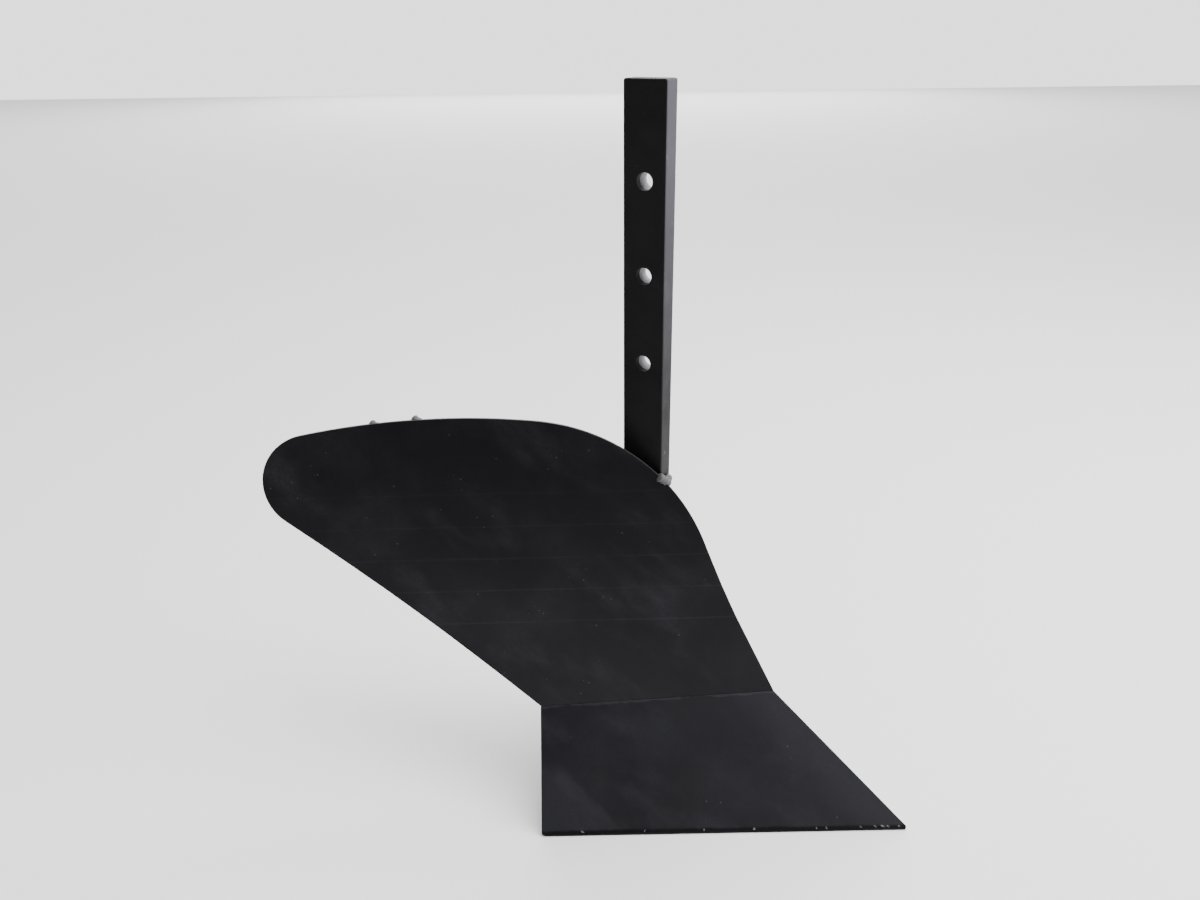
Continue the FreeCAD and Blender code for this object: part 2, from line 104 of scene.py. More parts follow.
shoulder_start = 96.0 * MM
shoulder_radius = 121.2 * MM
crown_radius = 473.0 * MM
wing_end = Vector((276.4 * MM, 138.8 * MM))
wing_end_radius = 29.2 * MM
lower_edge_radius = 2500 * MM

spare = 20 * MM
same_place = 0.01 * MM
bead_sink = 1.2 * MM
sheet_length = 420 * MM
sheet_edge = 0.4 * MM
bar_edge = 0.6 * MM
bend_width = 1.2 * MM
hole_chamfer = 0.35 * MM
heel_corner_cut = 2 * MM
cutter_reach = 0.1
hole_reach = 1.5 * bolt_hole_radius
hole_span = 1.5 * bolt_hole_pitch
brace_width = 15.875 * MM
brace_thickness = 6.35 * MM
dab_pitch = 2.6 * MM
bead_setback = 8 * MM

bead_radius = {
    "weld_crease": 4.0 * MM,
    "weld_share_landside": 3.6 * MM,
    "weld_moldboard_web": 3.6 * MM,
    "weld_shank_front": 2.8 * MM,
    "weld_shank_side": 3.0 * MM,
    "weld_shank_foot": 2.6 * MM,
    "weld_web_shank": 3.3 * MM,
    "weld_web_landside": 2.4 * MM,
    "weld_share_gusset": 3.2 * MM,
    "weld_moldboard_gusset": 3.2 * MM,
    "weld_brace_foot": 2.2 * MM,
    "weld_wing_brace": 3.0 * MM,
}
# The welds that can be seen from the front are given a lighter grey than the others.
bright_welds = ("weld_shank_front", "weld_wing_brace")

# Chips along the cutting edge: how far each lies from the tip, half its length, and how
# high they lie above the cutting edge
chip_places = [place * MM for place in (7, 14, 17, 22, 31, 52, 58, 96, 127, 163, 201)]
chip_widths = [width * MM for width in (2.0, 1.4, 2.2, 1.2, 1.0, 1.8, 1.1, 0.9, 1.5, 0.9, 1.3)]
chip_rise = 1.6 * MM


def facing(angle):
    """Horizontal direction that a plate at this angle to the travel faces."""
    turn = math.radians(angle)
    return Vector((math.sin(turn), -math.cos(turn), 0))


def along_plate(angle):
    """Horizontal direction along the plate, from the tip towards the wing."""
    turn = math.radians(angle)
    return Vector((-math.cos(turn), -math.sin(turn), 0))


def up_plate(angle, slope):
    lean = math.radians(slope)
    return Z * math.sin(lean) - facing(angle) * math.cos(lean)


def plate_normal(angle, slope):
    lean = math.radians(slope)
    return facing(angle) * math.sin(lean) + Z * math.cos(lean)


share_along = along_plate(share_angle)
share_up = up_plate(share_angle, share_slope)
share_normal = plate_normal(share_angle, share_slope)
first_normal = plate_normal(moldboard_angle, strip_slopes[0])
shin_y = landside_right + moldboard_thickness * first_normal.y
tip = Vector((node_high("share").x + share_tip_flat, shin_y, ground))


def shin_run(angle, slope):
    """How far a plate's face falls back along X for each unit of height."""
    return 1 / (math.tan(math.radians(slope)) * math.sin(math.radians(angle)))


crease_shin = tip + Vector((-crease_height * shin_run(share_angle, share_slope), 0, crease_height))
crease_along = share_normal.cross(first_normal).normalized()
if crease_along.dot(share_along) < 0:
    crease_along.negate()
crease_length = (share_length - (crease_shin - tip).dot(share_along)) / crease_along.dot(share_along)
crease_wing = crease_shin + crease_along * crease_length
seam_normal = crease_along.cross(share_normal)
if seam_normal.z < 0:
    seam_normal.negate()

mean_slope = sum(strip_slopes) / len(strip_slopes)
mold_along = along_plate(moldboard_angle)
mean_up = up_plate(moldboard_angle, mean_slope)
mean_normal = plate_normal(moldboard_angle, mean_slope)

# Front points of the shin: the crease, then every bend above it
strip_rises = [first_strip_rise] + [strip_rise] * (len(strip_slopes) - 2) + [strip_overrun]
shin = [crease_shin]
for slope, rise in zip(strip_slopes, strip_rises):
    shin.append(shin[-1] + Vector((-rise * shin_run(moldboard_angle, slope), 0, rise)))


# ---- Working tools ----

def deselect():
    if bpy.context.object and bpy.context.object.mode != "OBJECT":
        bpy.ops.object.mode_set(mode="OBJECT")
    bpy.ops.object.select_all(action="DESELECT")


def start(add, name, scale=(1, 1, 1), **place):
    """Adds a primitive, names it, and puts its place into its mesh."""
    deselect()
    add(**place)
    piece = bpy.context.object
    piece.scale = scale
    piece.name = name
    piece.data.name = name
    bpy.ops.object.transform_apply(location=True, rotation=True, scale=True)
    return piece


def edit(piece, select="NONE"):
    deselect()
    piece.select_set(True)
    bpy.context.view_layer.objects.active = piece
    bpy.ops.object.mode_set(mode="EDIT")
    bpy.ops.mesh.select_all(action="SELECT" if select == "ALL" else "DESELECT")


def done():
    bpy.ops.object.mode_set(mode="OBJECT")


def block(name, low, high):
    """A rectangular bar between two corners."""
    low = Vector(low)
    high = Vector(high)
    return start(bpy.ops.mesh.primitive_cube_add, name, size=1,
                 location=(low + high) / 2, scale=high - low)


def slab(name, corner, along, up, length, height, thickness):
    """A flat plate that lies back from its front face, with one corner at a point."""
    normal = facing_side(along, up)
    turn = Matrix((along, up, along.cross(up))).transposed().to_euler()
    centre = corner + along * length / 2 + up * height / 2 - normal * thickness / 2
    return start(bpy.ops.mesh.primitive_cube_add, name, size=1, location=centre, rotation=turn,
                 scale=(length, height, thickness))


def facing_side(along, up):
    normal = along.cross(up).normalized()
    return normal if normal.dot(facing(share_angle)) > 0 else -normal


def saw(piece, point, outward):
    """Cuts a piece off square at a plane and closes the cut."""
    edit(piece, "ALL")
    bpy.ops.mesh.bisect(plane_co=point, plane_no=outward, use_fill=True, clear_outer=True)
    done()


def finish_with(piece, kind, **settings):
    """Adds a modifier with these settings and applies it."""
    deselect()
    piece.select_set(True)
    bpy.context.view_layer.objects.active = piece
    modifier = piece.modifiers.new(kind.lower(), kind)
    for key, value in settings.items():
        setattr(modifier, key, value)
    bpy.ops.object.modifier_apply(modifier=modifier.name)


def drill(piece, tool, operation="DIFFERENCE"):
    """Cuts a piece with another one, which is then thrown away."""
    finish_with(piece, "BOOLEAN", object=tool, operation=operation, solver="EXACT")
    bpy.data.objects.remove(tool, do_unlink=True)


def smooth(piece, angle):
    """Shades the rounded parts smooth and keeps the flats flat."""
    deselect()
    piece.select_set(True)
    bpy.context.view_layer.objects.active = piece
    bpy.ops.object.shade_smooth_by_angle(angle=math.radians(angle))
    finish_with(piece, "WEIGHTED_NORMAL", keep_sharp=True, weight=90)


def ease_edges(piece, width):
    """Rounds every sharp edge a little."""
    finish_with(piece, "BEVEL", width=width, segments=3, limit_method="ANGLE",
                angle_limit=math.radians(25))
    smooth(piece, 50)


def tidy(piece):
    """Joins doubled points and turns every face outwards."""
    edit(piece, "ALL")
    bpy.ops.mesh.remove_doubles(threshold=same_place)
    bpy.ops.mesh.normals_make_consistent(inside=False)
    done()


def mark_faces(piece, finish, test):
    """Gives one of the piece's finishes to the faces that pass a test."""
    for face in piece.data.polygons:
        if test(face.normal, face.center):
            face.material_index = finish


def pick(piece, test):
    """Selects the vertices that pass a test, in edit mode."""
    bpy.ops.object.mode_set(mode="OBJECT")
    for vertex in piece.data.vertices:
        vertex.select = test(vertex.co)
    bpy.ops.object.mode_set(mode="EDIT")


def bevel_edges(piece, test, width, steps):
    """Bevels the edges whose two ends pass a test."""
    edit(piece)
    bpy.ops.mesh.select_mode(type="EDGE")
    bpy.ops.object.mode_set(mode="OBJECT")
    for line in piece.data.edges:
        line.select = test(*(piece.data.vertices[n].co for n in line.vertices))
    bpy.ops.object.mode_set(mode="EDIT")
    bpy.ops.mesh.bevel(offset=width, segments=steps, affect="EDGES")
    bpy.ops.mesh.select_mode(type="VERT")
    done()


def pull(step):
    """Extrudes what is selected by a step."""
    bpy.ops.mesh.extrude_region_move(TRANSFORM_OT_translate={"value": step})


def paint(piece, *finishes):
    piece.data.materials.clear()
    for finish in finishes:
        piece.data.materials.append(finish)


def keep(piece, slot, *nodes):
    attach(piece, "root")
    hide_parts(*nodes)


# ---- Finishes ----

def shared_effect(name, inputs, outputs):
    """An empty node group with value and vector sockets, ready to be wired."""
    group = bpy.data.node_groups.new(name, "ShaderNodeTree")
    group.interface.new_socket("Place", in_out="INPUT", socket_type="NodeSocketVector")
    for socket, value in inputs.items():
        made = group.interface.new_socket(socket, in_out="INPUT", socket_type="NodeSocketFloat")
        made.default_value = value
    for socket in outputs:
        group.interface.new_socket(socket, in_out="OUTPUT", socket_type="NodeSocketFloat")
    return group, group.nodes.new("NodeGroupInput"), group.nodes.new("NodeGroupOutput")


def wire(tree, source, target):
    tree.links.new(source, target)


def noise(tree, place, scale, detail=2.0, rough=0.5):
    node = tree.nodes.new("ShaderNodeTexNoise")
    node.inputs["Scale"].default_value = scale
    node.inputs["Detail"].default_value = detail
    node.inputs["Roughness"].default_value = rough
    wire(tree, place, node.inputs["Vector"])
    return node.outputs["Fac"]


def streaks(tree, place, along, length, width):
    """The place, squeezed so that a texture runs in streaks along a direction."""
    node = tree.nodes.new("ShaderNodeMapping")
    node.vector_type = "TEXTURE"
    node.inputs["Rotation"].default_value = X.rotation_difference(along).to_euler()
    node.inputs["Scale"].default_value = (length, width, width)
    wire(tree, place, node.inputs["Vector"])
    return node.outputs["Vector"]


def window(tree, value, low, high, result_low=0.0, result_high=1.0):
    """A value spread from one range to another, held at its ends."""
    node = tree.nodes.new("ShaderNodeMapRange")
    node.interpolation_type = "SMOOTHSTEP"
    ends = {"From Min": low, "From Max": high, "To Min": result_low, "To Max": result_high}
    for socket, amount in ends.items():
        node.inputs[socket].default_value = amount
    wire(tree, value, node.inputs["Value"])
    return node.outputs["Result"]


def reckon(tree, operation, *values):
    node = tree.nodes.new("ShaderNodeMath")
    node.operation = operation
    for n, value in enumerate(values):
        if isinstance(value, (int, float)):
            node.inputs[n].default_value = value
        else:
            wire(tree, value, node.inputs[n])
    return node.outputs["Value"]


def along_axis(tree, place, axis):
    """One coordinate of a place."""
    node = tree.nodes.new("ShaderNodeSeparateXYZ")
    wire(tree, place, node.inputs["Vector"])
    return node.outputs[axis]


def make_powder():
    """The fine grain of a sprayed powder coat: its height, and where it shines less."""
    tree, given, result = shared_effect("powder_grain", {}, ("Height", "Shine"))
    place = given.outputs["Place"]
    fine = noise(tree, place, 2600, 3, 0.6)
    broad = noise(tree, place, 420, 2)
    height = reckon(tree, "MULTIPLY_ADD", broad, 0.45, fine)
    wire(tree, height, result.inputs["Height"])
    wire(tree, window(tree, noise(tree, place, 28, 4, 0.6), 0.3, 0.7), result.inputs["Shine"])
    return tree


def make_dust():
    """Soil dust: slanting smears, a thin cloudy film, and scattered specks."""
    tree, given, result = shared_effect("soil_dust", {"Smears": 1.0, "Specks": 1.0}, ("Film", "Specks"))
    place = given.outputs["Place"]
    slanting = streaks(tree, place, mold_along * -0.75 - Z * 0.65, 0.085, 0.026)
    smear = window(tree, noise(tree, slanting, 1.0, 4, 0.55), 0.50, 0.82)
    cloud = window(tree, noise(tree, place, 16, 5, 0.6), 0.42, 0.78, 0.0, 0.55)
    grain = window(tree, noise(tree, place, 1500, 2, 0.7), 0.36, 0.70, 0.35, 1.0)
    film = reckon(tree, "MULTIPLY_ADD", smear, given.outputs["Smears"], cloud)
    wire(tree, reckon(tree, "MULTIPLY", film, grain), result.inputs["Film"])
    cells = tree.nodes.new("ShaderNodeTexVoronoi")
    cells.inputs["Scale"].default_value = 210
    wire(tree, place, cells.inputs["Vector"])
    dots = window(tree, cells.outputs["Distance"], 0.05, 0.11, 1.0, 0.0)
    chosen = window(tree, noise(tree, place, 60, 2), 0.56, 0.62)
    specks = reckon(tree, "MULTIPLY", reckon(tree, "MULTIPLY", dots, chosen), given.outputs["Specks"])
    wire(tree, specks, result.inputs["Specks"])
    return tree


def make_wear():
    """Where handling and soil have rubbed or chipped the coat off an edge."""
    tree, given, result = shared_effect("edge_wear", {"Amount": 0.5}, ("Rubbed", "Chipped"))
    place = given.outputs["Place"]
    reach = reckon(tree, "SUBTRACT", 0.78, reckon(tree, "MULTIPLY", given.outputs["Amount"], 0.5))
    rubbed = reckon(tree, "SUBTRACT", noise(tree, place, 90, 6, 0.7), reach)
    wire(tree, window(tree, rubbed, -0.12, 0.12), result.inputs["Rubbed"])
    chipped = reckon(tree, "SUBTRACT", noise(tree, place, 330, 4, 0.6), reach)
    wire(tree, window(tree, chipped, 0.07, 0.10), result.inputs["Chipped"])
    return tree


def make_bend_marks_and_highlights():
    """Faint light lines, one at every bend: where the press brake touched the sheet, and partly a
    painted highlight along each bend.
    """
    tree, given, result = shared_effect("bend_marks_and_highlights", {}, ("Line",))
    place = given.outputs["Place"]
    height = along_axis(tree, place, "Z")
    waver = reckon(tree, "MULTIPLY_ADD", noise(tree, place, 30, 3), 0.9 * MM, height)
    total = 0.0
    for n, corner in enumerate(shin[1:-1]):
        away = reckon(tree, "ABSOLUTE", reckon(tree, "SUBTRACT", waver, corner.z + 0.45 * MM))
        line = window(tree, away, 0.15 * MM, 0.75 * MM, 1.0 - 0.16 * n, 0.0)
        total = reckon(tree, "ADD", total, line)
    level = streaks(tree, place, mold_along, 0.05, 0.01)
    broken = window(tree, noise(tree, level, 1.0, 4, 0.7), 0.35, 0.62, 0.25, 1.0)
    wire(tree, reckon(tree, "MULTIPLY", total, broken), result.inputs["Line"])
    return tree


def make_slope():
    """A film of dust or of painted light that grows along a direction, with a ragged edge and the grain
    of the coat.
    """
    tree, given, result = shared_effect("dust_and_light_slope", {"Start": 0.0, "End": 1.0}, ("Film",))
    tree.interface.new_socket("Along", in_out="INPUT", socket_type="NodeSocketVector")
    place = given.outputs["Place"]
    way = tree.nodes.new("ShaderNodeVectorMath")
    way.operation = "DOT_PRODUCT"
    wire(tree, place, way.inputs[0])
    wire(tree, given.outputs["Along"], way.inputs[1])
    ragged = reckon(tree, "MULTIPLY_ADD", noise(tree, place, 60, 5, 0.6), 8 * MM, way.outputs["Value"])
    spread = tree.nodes.new("ShaderNodeMapRange")
    spread.interpolation_type = "SMOOTHSTEP"
    wire(tree, ragged, spread.inputs["Value"])
    wire(tree, given.outputs["Start"], spread.inputs["From Min"])
    wire(tree, given.outputs["End"], spread.inputs["From Max"])
    grain = window(tree, noise(tree, place, 1300, 3, 0.7), 0.34, 0.66, 0.72, 1.0)
    wire(tree, reckon(tree, "MULTIPLY", spread.outputs["Result"], grain), result.inputs["Film"])
    return tree


powder = make_powder()
dust = make_dust()
wear = make_wear()
bend_marks_and_highlights = make_bend_marks_and_highlights()
slope = make_slope()


def use(tree, group, place, **values):
    node = tree.nodes.new("ShaderNodeGroup")
    node.node_tree = group
    wire(tree, place, node.inputs["Place"])
    for socket, value in values.items():
        node.inputs[socket].default_value = value
    return node


def blend(tree, share, first, second):
    """One colour over another."""
    node = tree.nodes.new("ShaderNodeMix")
    node.data_type = "RGBA"
    wire(tree, share, node.inputs["Factor"])
    for socket, colour in ((node.inputs["A"], first), (node.inputs["B"], second)):
        if isinstance(colour, tuple):
            socket.default_value = colour + (1,)
        else:
            wire(tree, colour, socket)
    return node.outputs["Result"]


# The colour of the dust film, also used for painted light.
dust_and_light_colour = (0.150, 0.148, 0.170)
rubbed_colour = (0.30, 0.29, 0.31)
steel_colour = (0.50, 0.49, 0.50)
# Colour of the painted shadow along the share's cutting edge.
painted_shadow_colour = (0.0016, 0.0015, 0.0022)
speck_film = 0.3
# Strength of the light lines at the bends, partly painted highlight.
bend_mark_and_highlight_film = 0.040
film_dulls = 0.4
chip_metal = 0.8


def coated(name, colour, rough, film, shine, sheen=0.3, grain=0.35, worn=0.0, bend_lines=False,
           patches=(), painted_light_ramp=None, bare=None, foot=None):
    """Black coat over steel, with its dust, its rubbed places and its chips, and with painted light and
    shade.

    A patch is a film's strength and the directions it grows in; some patches are dust and some
    are painted light. A ramp of painted light can lighten the coat between two heights, a bare
    finish loses its coat between two places across the bar, and a painted shadow can darken the
    foot up to a height.
    """
    finish = bpy.data.materials.new(name)
    finish.use_nodes = True
    tree = finish.node_tree
    shader = tree.nodes["Principled BSDF"]
    shader.inputs["Specular IOR Level"].default_value = sheen
    place = tree.nodes.new("ShaderNodeTexCoord").outputs["Object"]
    surface = use(tree, powder, place)
    dirt = use(tree, dust, place)
    layer = reckon(tree, "MULTIPLY", dirt.outputs["Film"], film)
    # Each patch adds dust or painted light to the coat.
    for strength, slopes in patches:
        patch_layer = strength
        for along, start_at, end_at in slopes:
            rise = use(tree, slope, place, Along=along, Start=start_at, End=end_at)
            patch_layer = reckon(tree, "MULTIPLY", rise.outputs["Film"], patch_layer)
        layer = reckon(tree, "ADD", layer, patch_layer)
    layer = reckon(tree, "ADD", layer, reckon(tree, "MULTIPLY", dirt.outputs["Specks"], speck_film))
    # Painted light: a ramp that lightens the coat between two heights.
    if painted_light_ramp:
        layer = reckon(tree, "ADD", layer, window(tree, along_axis(tree, place, "Z"), *painted_light_ramp))
    # Light lines at the bends: press-brake wear and partly a painted highlight.
    if bend_lines:
        line = use(tree, bend_marks_and_highlights, place).outputs["Line"]
        layer = reckon(tree, "ADD", layer, reckon(tree, "MULTIPLY", line, bend_mark_and_highlight_film))
    tint = blend(tree, layer, colour, dust_and_light_colour)
    # Painted shadow: the foot is darkened up to a height.
    if foot:
        uneven = reckon(tree, "MULTIPLY_ADD", noise(tree, place, 130, 4, 0.6), 2.2 * MM,
                        along_axis(tree, place, "Z"))
        tint = blend(tree, window(tree, uneven, *foot), painted_shadow_colour, tint)
    gloss = window(tree, surface.outputs["Shine"], 0.0, 1.0, *shine)
    gloss = reckon(tree, "ADD", gloss, reckon(tree, "MULTIPLY", layer, film_dulls))
    if bare:
        ragged = reckon(tree, "MULTIPLY_ADD", noise(tree, place, 500, 3), 2 * MM,
                        along_axis(tree, place, "Y"))
        tint = blend(tree, window(tree, ragged, *bare), tint, rubbed_colour)
    if worn:
        rub = use(tree, wear, place, Amount=worn)
        tint = blend(tree, rub.outputs["Rubbed"], tint, rubbed_colour)
        tint = blend(tree, rub.outputs["Chipped"], tint, steel_colour)
        metal = reckon(tree, "MULTIPLY", rub.outputs["Chipped"], chip_metal)
        wire(tree, metal, shader.inputs["Metallic"])
    bump = tree.nodes.new("ShaderNodeBump")
    bump.inputs["Strength"].default_value = grain
    bump.inputs["Distance"].default_value = rough
    wire(tree, surface.outputs["Height"], bump.inputs["Height"])
    wire(tree, tint, shader.inputs["Base Color"])
    wire(tree, gloss, shader.inputs["Roughness"])
    wire(tree, bump.outputs["Normal"], shader.inputs["Normal"])
    return finish


def across_line(first, second):
    """On the share's face, the direction square to a line, towards the tip's side."""
    side = share_normal.cross(second - first).normalized()
    return side if side.x > 0 else -side


# Each patch: its strength, then each direction that it grows in, with the start and the end
shin_side = across_line(tip, crease_shin)
shin_edge = tip.dot(shin_side) + 4 * MM
heel = tip + share_along * share_length
heel_line = heel + share_up * 34 * MM - share_along * 18 * MM
heel_side = across_line(heel_line, heel - share_along * 50 * MM)
seam_top = crease_shin.dot(seam_normal) + 4 * MM
# Painted light: the share lighter towards the shin and the tip, with a brighter painted highlight in a
# narrow band along the shin.
painted_shin_light = (0.040, [(shin_side, shin_edge - 125 * MM, shin_edge)])
painted_shin_highlight = (0.050, [(shin_side, shin_edge - 30 * MM, shin_edge - 4 * MM)])
dusty_heel = (0.060, [(-heel_side, -heel_line.dot(heel_side), -heel_line.dot(heel_side) + 4 * MM),
                      (-Z, -ground - 38 * MM, -ground - 22 * MM)])
# A light band along the share's top at the crease: partly a press-brake mark, partly a painted highlight
# on the bend.
seam_mark_and_highlight = (0.080, [(seam_normal, seam_top - 1.4 * MM, seam_top - 0.6 * MM)])

# The share gets a lighter colour than the moldboard, painted light for its more upturned face. Its ramp
# is painted light, a little lighter towards the ground, and its foot is a painted shadow along the
# cutting edge.
share_face = coated(
    "share_coat", (0.0058, 0.0057, 0.0078), 0.04 * MM, 0.10, (0.50, 0.72), sheen=0.14,
    painted_light_ramp=(-0.32, -0.26, 0.022, 0.014), foot=(ground + 3.6 * MM, ground + 5.2 * MM),
    patches=(painted_shin_light, painted_shin_highlight, dusty_heel, seam_mark_and_highlight))
# The moldboard's coat is lighter towards the bottom: painted light.
moldboard_face = coated(
    "moldboard_coat", (0.0034, 0.0032, 0.0047), 0.04 * MM, 0.13, (0.46, 0.68), sheen=0.10,
    painted_light_ramp=(-0.27, -0.09, 0.068, 0.0), bend_lines=True)
plate_edge = coated(
    "plate_edge_coat", (0.030, 0.029, 0.031), 0.06 * MM, 0.25, (0.5, 0.7), sheen=0.2, worn=0.12)
# The coat was sprayed from the right and reaches only part of the way into the holes.
drilled_steel = coated(
    "drilled_steel", (0.0040, 0.0035, 0.0035), 0.05 * MM, 0.1, (0.5, 0.7), sheen=0.12,
    bare=(-1.2 * MM, 0.0 * MM))
chip_steel = coated(
    "chipped_steel", (0.16, 0.16, 0.17), 0.05 * MM, 0.4, (0.35, 0.55), sheen=0.4, worn=0.35)
# The shank's ramps are painted light, lighter towards the top; the narrow faces' lighter coat is a
# painted highlight.
shank_face = coated(
    "shank_coat", (0.0036, 0.0026, 0.0025), 0.04 * MM, 0.04, (0.48, 0.66), sheen=0.09,
    painted_light_ramp=(-0.12, 0.10, 0.0, 0.028))
shank_edge = coated(
    "shank_edge_coat", (0.012, 0.0115, 0.0125), 0.08 * MM, 0.25, (0.45, 0.62), sheen=0.08,
    worn=0.10, painted_light_ramp=(-0.14, 0.11, -0.06, 0.46))
frame_face = coated(
    "frame_coat", (0.0060, 0.0058, 0.0066), 0.04 * MM, 0.12, (0.48, 0.68), sheen=0.18)
frame_edge = coated(
    "frame_edge_coat", (0.020, 0.0195, 0.021), 0.06 * MM, 0.5, (0.5, 0.7), worn=0.22)
weld_coat = coated(
    "weld_coat", (0.0130, 0.0125, 0.0140), 0.10 * MM, 0.40, (0.42, 0.62), grain=0.6, worn=0.12)
bright_weld = coated(
    "bright_weld_coat", (0.070, 0.068, 0.072), 0.10 * MM, 0.6, (0.42, 0.62), sheen=0.4,
    grain=0.6, worn=0.22)


# ---- Pieces ----

def make_shank(*finishes):
    """Rolled flat bar with drilled and lightly deburred bolt holes."""
    bar = block("shank_bar", shank_low, shank_high)
    paint(bar, *finishes)
    bevel_edges(bar, lambda a, b: True, shank_corner, 4)
    for n in (1, 0, -1):
        height = n * bolt_hole_pitch

        def in_hole(a, b):
            """Whether an edge is on this hole's wall, either round a rim or along the bore."""
            return all(abs(math.hypot(end.x, end.z - height) - bolt_hole_radius) < same_place
                       for end in (a, b))

        drill(bar, start(bpy.ops.mesh.primitive_cylinder_add, "drill_bit", vertices=64,
                         radius=bolt_hole_radius, depth=cutter_reach, location=(0, 0, height),
                         rotation=(math.pi / 2, 0, 0)))
        bevel_edges(bar, in_hole, hole_chamfer, 2)
    smooth(bar, 35)

    # The narrow faces of the bar get a lighter coat with more film: a painted highlight for the light
    # they catch, and some edge wear.
    def narrow(normal, centre):
        return abs(normal.y) < 0.75 and abs(centre.x) > 2 * bolt_hole_radius

    def drilled(normal, centre):
        return abs(normal.y) < 0.75 and abs(centre.x) < hole_reach and abs(centre.z) < hole_span

    mark_faces(bar, 1, narrow)
    mark_faces(bar, 2, drilled)
    return bar


def at_seam(point):
    return abs((point - crease_shin).dot(seam_normal)) < 1.5 * MM


def mark_cut_edges(plate, face_normal, nearly):
    """Gives a plate's cut edges their own finish, but not the welded one."""
    mark_faces(plate, 1, lambda normal, centre:
               abs(normal.dot(face_normal)) < nearly and not at_seam(centre))


def nick(plate, place, size, finishes):
    """A chip knocked out of an edge, showing bare metal."""
    tool = start(bpy.ops.mesh.primitive_ico_sphere_add, "chip", subdivisions=2, radius=1, location=place,
                 scale=size, rotation=(0.3, 0.5, place.x * 40))
    paint(tool, *finishes)
    mark_faces(tool, 2, lambda normal, centre: True)
    drill(plate, tool)


def make_share(*finishes):
    """Flat plate cut to the crease, the shin, the ground and its cutting edge."""
    corner = tip - share_up * spare
    plate = slab("share_plate", corner, share_along, share_up, share_length,
                 share_blank_height, share_thickness)
    paint(plate, *finishes)
    saw(plate, tip, shin_side)
    saw(plate, crease_shin, seam_normal)
    saw(plate, Vector((0, landside_right, 0)), Y)
    saw(plate, Vector((0, 0, ground)), -Z)
    set_back = cutting_edge_height / math.tan(math.radians(share_slope))
    saw(plate, tip - facing(share_angle) * set_back, facing(share_angle))
    saw(plate, tip - X * share_tip_flat, X)
    saw(plate, tip + share_along * (share_length - heel_corner_cut), (share_along - Z).normalized())
    tidy(plate)
    ease_edges(plate, sheet_edge)
    mark_cut_edges(plate, share_normal, 0.7)
    # Stones have knocked the coat off the cutting edge, mostly near the tip.
    for along, wide in zip(chip_places, chip_widths):
        place = tip + share_along * along + share_up * (cutting_edge_height + chip_rise)
        nick(plate, place, (wide, 0.5 * MM, 0.8 * MM), finishes)
    smooth(plate, 50)
    return plate


def moldboard_sheet():
    """The bent sheet: one strip pulled up from the last, then given its thickness."""
    first = up_plate(moldboard_angle, strip_slopes[0])
    reach = (strip_overrun + first_strip_rise) / math.sin(math.radians(strip_slopes[0]))
    base = crease_shin - first * strip_overrun / math.sin(math.radians(strip_slopes[0]))
    base = base - mold_along * strip_overrun
    turn = Matrix((mold_along, first, mold_along.cross(first))).transposed().to_euler()
    centre = base + mold_along * sheet_length / 2 + first * reach / 2
    sheet = start(bpy.ops.mesh.primitive_plane_add, "moldboard_plate", size=1, location=centre,
                  rotation=turn, scale=(sheet_length, reach, 1))
    edit(sheet)
    top = base + first * reach
    pick(sheet, lambda co: abs(co.z - top.z) < MM)
    for slope, rise in zip(strip_slopes[1:], strip_rises[1:]):
        step = up_plate(moldboard_angle, slope) * (rise / math.sin(math.radians(slope)))
        pull(step)
    done()
    tidy(sheet)
    if sheet.data.polygons[0].normal.dot(mean_normal) < 0:
        edit(sheet, "ALL")
        bpy.ops.mesh.flip_normals()
        done()
    finish_with(sheet, "SOLIDIFY", thickness=moldboard_thickness, offset=-1, use_even_offset=True)
    soften_bends(sheet)
    return sheet


def soften_bends(sheet):
    """Gives each press-brake bend a small radius, so that the strips stay flat."""
    lowest = min(vertex.co.z for vertex in sheet.data.vertices) + 5 * MM
    highest = max(vertex.co.z for vertex in sheet.data.vertices) - 5 * MM
    bevel_edges(sheet, lambda a, b: lowest < a.z < highest and (a - b).length > sheet_length / 2,
                bend_width, 3)


def circle_crossing(a, radius_a, b, radius_b, side):
    """Where two circles cross, on the left (+1) or right (-1) of the line from a to b."""
    gap = b - a
    along = (radius_a ** 2 - radius_b ** 2 + gap.length_squared) / (2 * gap.length)
    off = side * math.sqrt(radius_a ** 2 - along ** 2)
    ahead = gap.normalized()
    return a + ahead * along + Vector((-ahead.y, ahead.x)) * off


def on_outline(place):
    """A point of the outline's plane, from its place along and up the plate."""
    return crease_shin + mold_along * place.x + mean_up * place.y


def outline_place(point):
    offset = point - crease_shin
    return Vector((offset.dot(mold_along), offset.dot(mean_up)))


def trace_line(place):
    here = bpy.context.edit_object.data
    bpy.ops.object.mode_set(mode="OBJECT")
    last = next(vertex.co.copy() for vertex in here.vertices if vertex.select)
    bpy.ops.object.mode_set(mode="EDIT")
    pull(on_outline(place) - last)


def trace_arc(centre, first, last, steps):
    """Spins the last point round a centre, from one place to another."""
    angle = (first - centre).angle_signed(last - centre)
    bpy.ops.mesh.spin(steps=steps, angle=angle, center=on_outline(centre),
                      axis=mold_along.cross(mean_up), dupli=False)


# The outline rises along the shin to the shoulder's arc, then turns into the crown's.
shin_places = [outline_place(point) for point in shin]
below = [place for place in shin_places if place.y < shoulder_start]
last_step = shin_places[len(below)] - below[-1]
shoulder_foot = below[-1] + last_step * (shoulder_start - below[-1].y) / last_step.y
shoulder = shoulder_foot + Vector((last_step.y, -last_step.x)).normalized() * shoulder_radius
crown = circle_crossing(shoulder, crown_radius - shoulder_radius,
                        wing_end, crown_radius - wing_end_radius, -1)


def rise_to_crown(point):
    """How far up the plate the crown's edge lies above a point."""
    place = outline_place(point)
    return crown.y + math.sqrt(crown_radius ** 2 - (place.x - crown.x) ** 2) - place.y


